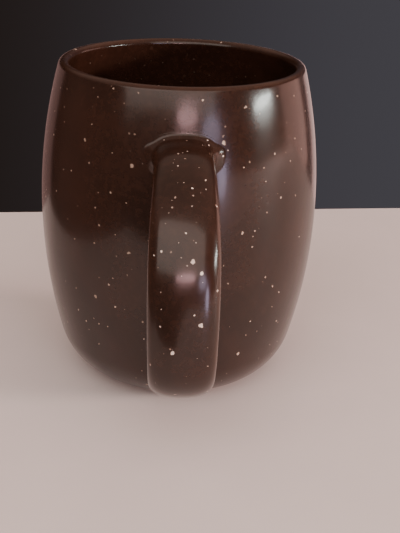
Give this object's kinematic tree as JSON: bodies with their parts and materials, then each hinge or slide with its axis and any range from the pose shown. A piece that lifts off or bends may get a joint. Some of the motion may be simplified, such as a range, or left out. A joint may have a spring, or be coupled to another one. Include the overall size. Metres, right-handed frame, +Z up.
{
  "type": "ceramic mug",
  "caption": "Barrel-shaped glazed stoneware drinking mug with a strap handle and a bare foot ring.",
  "frame": {"origin": "centre of the whole mug's footprint on the table: on the handle's plane, 17.7 mm from the cup's own axis towards the handle", "axes": "+Z up, out of the mouth; -Y from the cup towards the handle; +X to the right of someone who faces the handle"},
  "size_m": [0.0872, 0.1225, 0.102],
  "materials": {
    "bare_stoneware": "matte",
    "handle_stoneware": "matte",
    "joint_slip": "matte",
    "brown_glaze": "gloss"
  },
  "bodies": {
    "root": {"clay_body": "bare_stoneware", "clay_handle": "handle_stoneware", "upper_slip_joint": "joint_slip", "lower_slip_joint": "joint_slip", "outer_glaze": "brown_glaze", "handle_glaze": "brown_glaze", "liner_glaze": "brown_glaze", "foot_glaze": "brown_glaze"}
  },
  "joints": []
}
